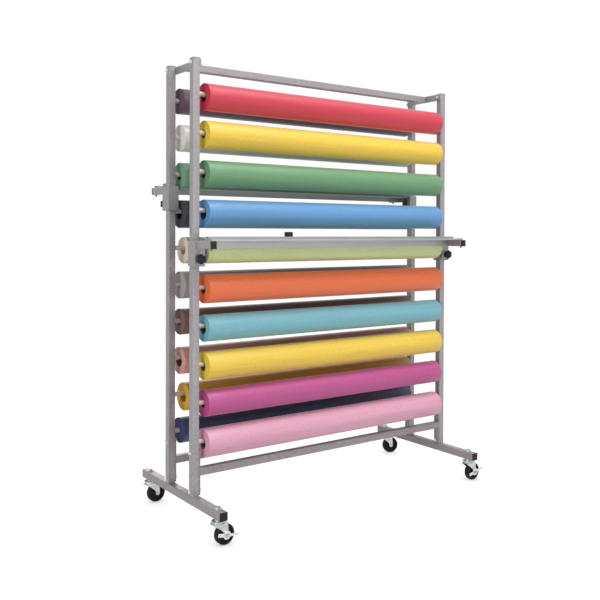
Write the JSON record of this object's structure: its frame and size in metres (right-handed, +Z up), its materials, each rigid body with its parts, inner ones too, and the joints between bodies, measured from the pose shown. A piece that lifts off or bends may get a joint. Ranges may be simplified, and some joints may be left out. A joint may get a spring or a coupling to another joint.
{
  "type": "mobile paper roll rack",
  "caption": "Free-standing square-tube rack on swivel casters that carries rows of wide paper rolls on rods, with a height-adjustable sliding cutter on each side.",
  "frame": {"origin": "on the floor, midway between the four uprights", "axes": "+Z up, +X along the rolls to the viewer's right, front of the rack towards -Y"},
  "size_m": [1.3946, 0.6386, 1.7617],
  "materials": {
    "frame_paint": "silver-grey hammertone",
    "rod_steel": "plain drawn steel",
    "zinc_steel": "bright zinc plate",
    "aluminium": "satin mill finish",
    "black_plastic": "black, fine grain",
    "black_rubber": "matt black",
    "paper_front_red": "matt coloured paper",
    "paper_front_yellow_upper": "matt coloured paper",
    "paper_front_green": "matt coloured paper",
    "paper_front_blue": "matt coloured paper",
    "paper_front_lime": "matt coloured paper",
    "paper_front_orange": "matt coloured paper",
    "paper_front_teal": "matt coloured paper",
    "paper_front_yellow_lower": "matt coloured paper",
    "paper_front_magenta": "matt coloured paper",
    "paper_front_pink": "matt coloured paper",
    "paper_rear_purple": "matt coloured paper",
    "paper_rear_white": "matt coloured paper",
    "paper_rear_green": "matt coloured paper",
    "paper_rear_black": "matt coloured paper",
    "paper_rear_cream": "matt coloured paper",
    "paper_rear_grey": "matt coloured paper",
    "paper_rear_brown": "matt coloured paper",
    "paper_rear_salmon": "matt coloured paper",
    "paper_rear_gold": "matt coloured paper",
    "paper_rear_navy": "matt coloured paper"
  },
  "bodies": {
    "frame": {"roll_rods": "rod_steel", "left_foot": "frame_paint", "right_foot": "frame_paint", "front_left_upright": "frame_paint", "front_right_upright": "frame_paint", "rear_left_upright": "frame_paint", "rear_right_upright": "frame_paint", "top_rail": "frame_paint", "top_tie_plates": "frame_paint", "front_lower_rail": "frame_paint", "rear_lower_rail": "frame_paint", "lower_rail_end_plates": "frame_paint", "frame_bolts": "zinc_steel", "upright_caps": "black_plastic", "foot_end_plugs": "black_plastic", "caster_stems": "zinc_steel"},
    "front_roll_red": {"front_roll_red": "paper_front_red"},
    "front_roll_yellow_upper": {"front_roll_yellow_upper": "paper_front_yellow_upper"},
    "front_roll_green": {"front_roll_green": "paper_front_green"},
    "front_roll_blue": {"front_roll_blue": "paper_front_blue"},
    "front_roll_lime": {"front_roll_lime": "paper_front_lime"},
    "front_roll_orange": {"front_roll_orange": "paper_front_orange"},
    "front_roll_teal": {"front_roll_teal": "paper_front_teal"},
    "front_roll_yellow_lower": {"front_roll_yellow_lower": "paper_front_yellow_lower"},
    "front_roll_magenta": {"front_roll_magenta": "paper_front_magenta"},
    "front_roll_pink": {"front_roll_pink": "paper_front_pink"},
    "rear_roll_purple": {"rear_roll_purple": "paper_rear_purple"},
    "rear_roll_white": {"rear_roll_white": "paper_rear_white"},
    "rear_roll_green": {"rear_roll_green": "paper_rear_green"},
    "rear_roll_black": {"rear_roll_black": "paper_rear_black"},
    "rear_roll_cream": {"rear_roll_cream": "paper_rear_cream"},
    "rear_roll_grey": {"rear_roll_grey": "paper_rear_grey"},
    "rear_roll_brown": {"rear_roll_brown": "paper_rear_brown"},
    "rear_roll_salmon": {"rear_roll_salmon": "paper_rear_salmon"},
    "rear_roll_gold": {"rear_roll_gold": "paper_rear_gold"},
    "rear_roll_navy": {"rear_roll_navy": "paper_rear_navy"},
    "front_left_caster_fork": {"front_left_caster_fork": "zinc_steel"},
    "front_left_caster_wheel": {"front_left_caster_wheel": "black_rubber"},
    "front_left_brake_lever": {"front_left_brake_lever": "zinc_steel"},
    "front_right_caster_fork": {"front_right_caster_fork": "zinc_steel"},
    "front_right_caster_wheel": {"front_right_caster_wheel": "black_rubber"},
    "front_right_brake_lever": {"front_right_brake_lever": "zinc_steel"},
    "rear_left_caster_fork": {"rear_left_caster_fork": "zinc_steel"},
    "rear_left_caster_wheel": {"rear_left_caster_wheel": "black_rubber"},
    "rear_right_caster_fork": {"rear_right_caster_fork": "zinc_steel"},
    "rear_right_caster_wheel": {"rear_right_caster_wheel": "black_rubber"},
    "front_cutter_carriage": {"front_cutter_brackets": "frame_paint", "front_cutter_track": "aluminium", "front_cutter_arm_plugs": "black_plastic", "front_cutter_screws": "zinc_steel"},
    "front_cutter_head": {"front_cutter_head": "black_plastic"},
    "front_cutter_left_knob": {"front_cutter_left_knob": "black_plastic"},
    "front_cutter_right_knob": {"front_cutter_right_knob": "black_plastic"},
    "rear_cutter_carriage": {"rear_cutter_brackets": "frame_paint", "rear_cutter_track": "aluminium", "rear_cutter_arm_plugs": "black_plastic", "rear_cutter_screws": "zinc_steel"},
    "rear_cutter_head": {"rear_cutter_head": "black_plastic"},
    "rear_cutter_left_knob": {"rear_cutter_left_knob": "black_plastic"},
    "rear_cutter_right_knob": {"rear_cutter_right_knob": "black_plastic"}
  },
  "joints": [
    {"name": "front_cutter_height_slide", "type": "slide", "parent": "frame", "child": "front_cutter_carriage", "axis": [0, 0, 1], "range_m": [-0.665, 0.625]},
    {"name": "front_cutter_head_slide", "type": "slide", "parent": "front_cutter_carriage", "child": "front_cutter_head", "axis": [1, 0, 0], "range_m": [-0.335, 0.885]},
    {"name": "front_cutter_left_knob_turn", "type": "hinge", "parent": "front_cutter_carriage", "child": "front_cutter_left_knob", "pos_m": [-0.6468, -0.1477, 1.0144], "axis": [0, -1, 0], "range_deg": [0, 720]},
    {"name": "front_cutter_right_knob_turn", "type": "hinge", "parent": "front_cutter_carriage", "child": "front_cutter_right_knob", "pos_m": [0.6468, -0.1477, 1.0144], "axis": [0, -1, 0], "range_deg": [0, 720]},
    {"name": "rear_cutter_height_slide", "type": "slide", "parent": "frame", "child": "rear_cutter_carriage", "axis": [0, 0, 1], "range_m": [-0.875, 0.415]},
    {"name": "rear_cutter_head_slide", "type": "slide", "parent": "rear_cutter_carriage", "child": "rear_cutter_head", "axis": [1, 0, 0], "range_m": [-0.885, 0.335]},
    {"name": "rear_cutter_left_knob_turn", "type": "hinge", "parent": "rear_cutter_carriage", "child": "rear_cutter_left_knob", "pos_m": [-0.6468, 0.1477, 1.2248], "axis": [0, 1, 0], "range_deg": [0, 720]},
    {"name": "rear_cutter_right_knob_turn", "type": "hinge", "parent": "rear_cutter_carriage", "child": "rear_cutter_right_knob", "pos_m": [0.6468, 0.1477, 1.2248], "axis": [0, 1, 0], "range_deg": [0, 720]},
    {"name": "front_left_brake_lever_tilt", "type": "hinge", "parent": "front_left_caster_fork", "child": "front_left_brake_lever", "pos_m": [-0.62084, -0.27624, 0.038], "axis": [0.0523, -0.9986, 0], "range_deg": [-13.5, 61.5]},
    {"name": "front_right_brake_lever_tilt", "type": "hinge", "parent": "front_right_caster_fork", "child": "front_right_brake_lever", "pos_m": [0.67278, -0.27669, 0.038], "axis": [0.0349, -0.9994, 0], "range_deg": [-35, 40]},
    {"name": "front_left_caster_swivel", "type": "hinge", "parent": "frame", "child": "front_left_caster_fork", "pos_m": [-0.6468, -0.2776, 0.087], "axis": [0, 0, 1], "continuous": true},
    {"name": "front_right_caster_swivel", "type": "hinge", "parent": "frame", "child": "front_right_caster_fork", "pos_m": [0.6468, -0.2776, 0.087], "axis": [0, 0, 1], "continuous": true},
    {"name": "rear_left_caster_swivel", "type": "hinge", "parent": "frame", "child": "rear_left_caster_fork", "pos_m": [-0.6468, 0.2776, 0.087], "axis": [0, 0, 1], "continuous": true},
    {"name": "rear_right_caster_swivel", "type": "hinge", "parent": "frame", "child": "rear_right_caster_fork", "pos_m": [0.6468, 0.2776, 0.087], "axis": [0, 0, 1], "continuous": true},
    {"name": "front_left_wheel_spin", "type": "hinge", "parent": "front_left_caster_fork", "child": "front_left_caster_wheel", "pos_m": [-0.62084, -0.27624, 0.038], "axis": [-0.0523, 0.9986, 0], "continuous": true},
    {"name": "front_right_wheel_spin", "type": "hinge", "parent": "front_right_caster_fork", "child": "front_right_caster_wheel", "pos_m": [0.67278, -0.27669, 0.038], "axis": [-0.0349, 0.9994, 0], "continuous": true},
    {"name": "rear_left_wheel_spin", "type": "hinge", "parent": "rear_left_caster_fork", "child": "rear_left_caster_wheel", "pos_m": [-0.6209, 0.27987, 0.038], "axis": [-0.0872, 0.9962, 0], "continuous": true},
    {"name": "rear_right_wheel_spin", "type": "hinge", "parent": "rear_right_caster_fork", "child": "rear_right_caster_wheel", "pos_m": [0.67123, 0.26871, 0.038], "axis": [0.342, 0.9397, 0], "continuous": true},
    {"name": "front_roll_red_spin", "type": "hinge", "parent": "frame", "child": "front_roll_red", "pos_m": [0, -0.0977, 1.62018], "axis": [1, 0, 0], "continuous": true},
    {"name": "front_roll_yellow_upper_spin", "type": "hinge", "parent": "frame", "child": "front_roll_yellow_upper", "pos_m": [0, -0.0977, 1.47978], "axis": [1, 0, 0], "continuous": true},
    {"name": "front_roll_green_spin", "type": "hinge", "parent": "frame", "child": "front_roll_green", "pos_m": [0, -0.0977, 1.33348], "axis": [1, 0, 0], "continuous": true},
    {"name": "front_roll_blue_spin", "type": "hinge", "parent": "frame", "child": "front_roll_blue", "pos_m": [0, -0.0977, 1.18415], "axis": [1, 0, 0], "continuous": true},
    {"name": "front_roll_lime_spin", "type": "hinge", "parent": "frame", "child": "front_roll_lime", "pos_m": [0, -0.0977, 1.04441], "axis": [1, 0, 0], "continuous": true},
    {"name": "front_roll_orange_spin", "type": "hinge", "parent": "frame", "child": "front_roll_orange", "pos_m": [0, -0.0977, 0.90077], "axis": [1, 0, 0], "continuous": true},
    {"name": "front_roll_teal_spin", "type": "hinge", "parent": "frame", "child": "front_roll_teal", "pos_m": [0, -0.0977, 0.75286], "axis": [1, 0, 0], "continuous": true},
    {"name": "front_roll_yellow_lower_spin", "type": "hinge", "parent": "frame", "child": "front_roll_yellow_lower", "pos_m": [0, -0.0977, 0.61132], "axis": [1, 0, 0], "continuous": true},
    {"name": "front_roll_magenta_spin", "type": "hinge", "parent": "frame", "child": "front_roll_magenta", "pos_m": [0, -0.0977, 0.47006], "axis": [1, 0, 0], "continuous": true},
    {"name": "front_roll_pink_spin", "type": "hinge", "parent": "frame", "child": "front_roll_pink", "pos_m": [0, -0.0977, 0.32082], "axis": [1, 0, 0], "continuous": true},
    {"name": "rear_roll_purple_spin", "type": "hinge", "parent": "frame", "child": "rear_roll_purple", "pos_m": [0, 0.0977, 1.62835], "axis": [1, 0, 0], "continuous": true},
    {"name": "rear_roll_white_spin", "type": "hinge", "parent": "frame", "child": "rear_roll_white", "pos_m": [0, 0.0977, 1.48405], "axis": [1, 0, 0], "continuous": true},
    {"name": "rear_roll_green_spin", "type": "hinge", "parent": "frame", "child": "rear_roll_green", "pos_m": [0, 0.0977, 1.33452], "axis": [1, 0, 0], "continuous": true},
    {"name": "rear_roll_black_spin", "type": "hinge", "parent": "frame", "child": "rear_roll_black", "pos_m": [0, 0.0977, 1.18462], "axis": [1, 0, 0], "continuous": true},
    {"name": "rear_roll_cream_spin", "type": "hinge", "parent": "frame", "child": "rear_roll_cream", "pos_m": [0, 0.0977, 1.04184], "axis": [1, 0, 0], "continuous": true},
    {"name": "rear_roll_grey_spin", "type": "hinge", "parent": "frame", "child": "rear_roll_grey", "pos_m": [0, 0.0977, 0.90495], "axis": [1, 0, 0], "continuous": true},
    {"name": "rear_roll_brown_spin", "type": "hinge", "parent": "frame", "child": "rear_roll_brown", "pos_m": [0, 0.0977, 0.7597], "axis": [1, 0, 0], "continuous": true},
    {"name": "rear_roll_salmon_spin", "type": "hinge", "parent": "frame", "child": "rear_roll_salmon", "pos_m": [0, 0.0977, 0.6059], "axis": [1, 0, 0], "continuous": true},
    {"name": "rear_roll_gold_spin", "type": "hinge", "parent": "frame", "child": "rear_roll_gold", "pos_m": [0, 0.0977, 0.46113], "axis": [1, 0, 0], "continuous": true},
    {"name": "rear_roll_navy_spin", "type": "hinge", "parent": "frame", "child": "rear_roll_navy", "pos_m": [0, 0.0977, 0.32965], "axis": [1, 0, 0], "continuous": true}
  ]
}
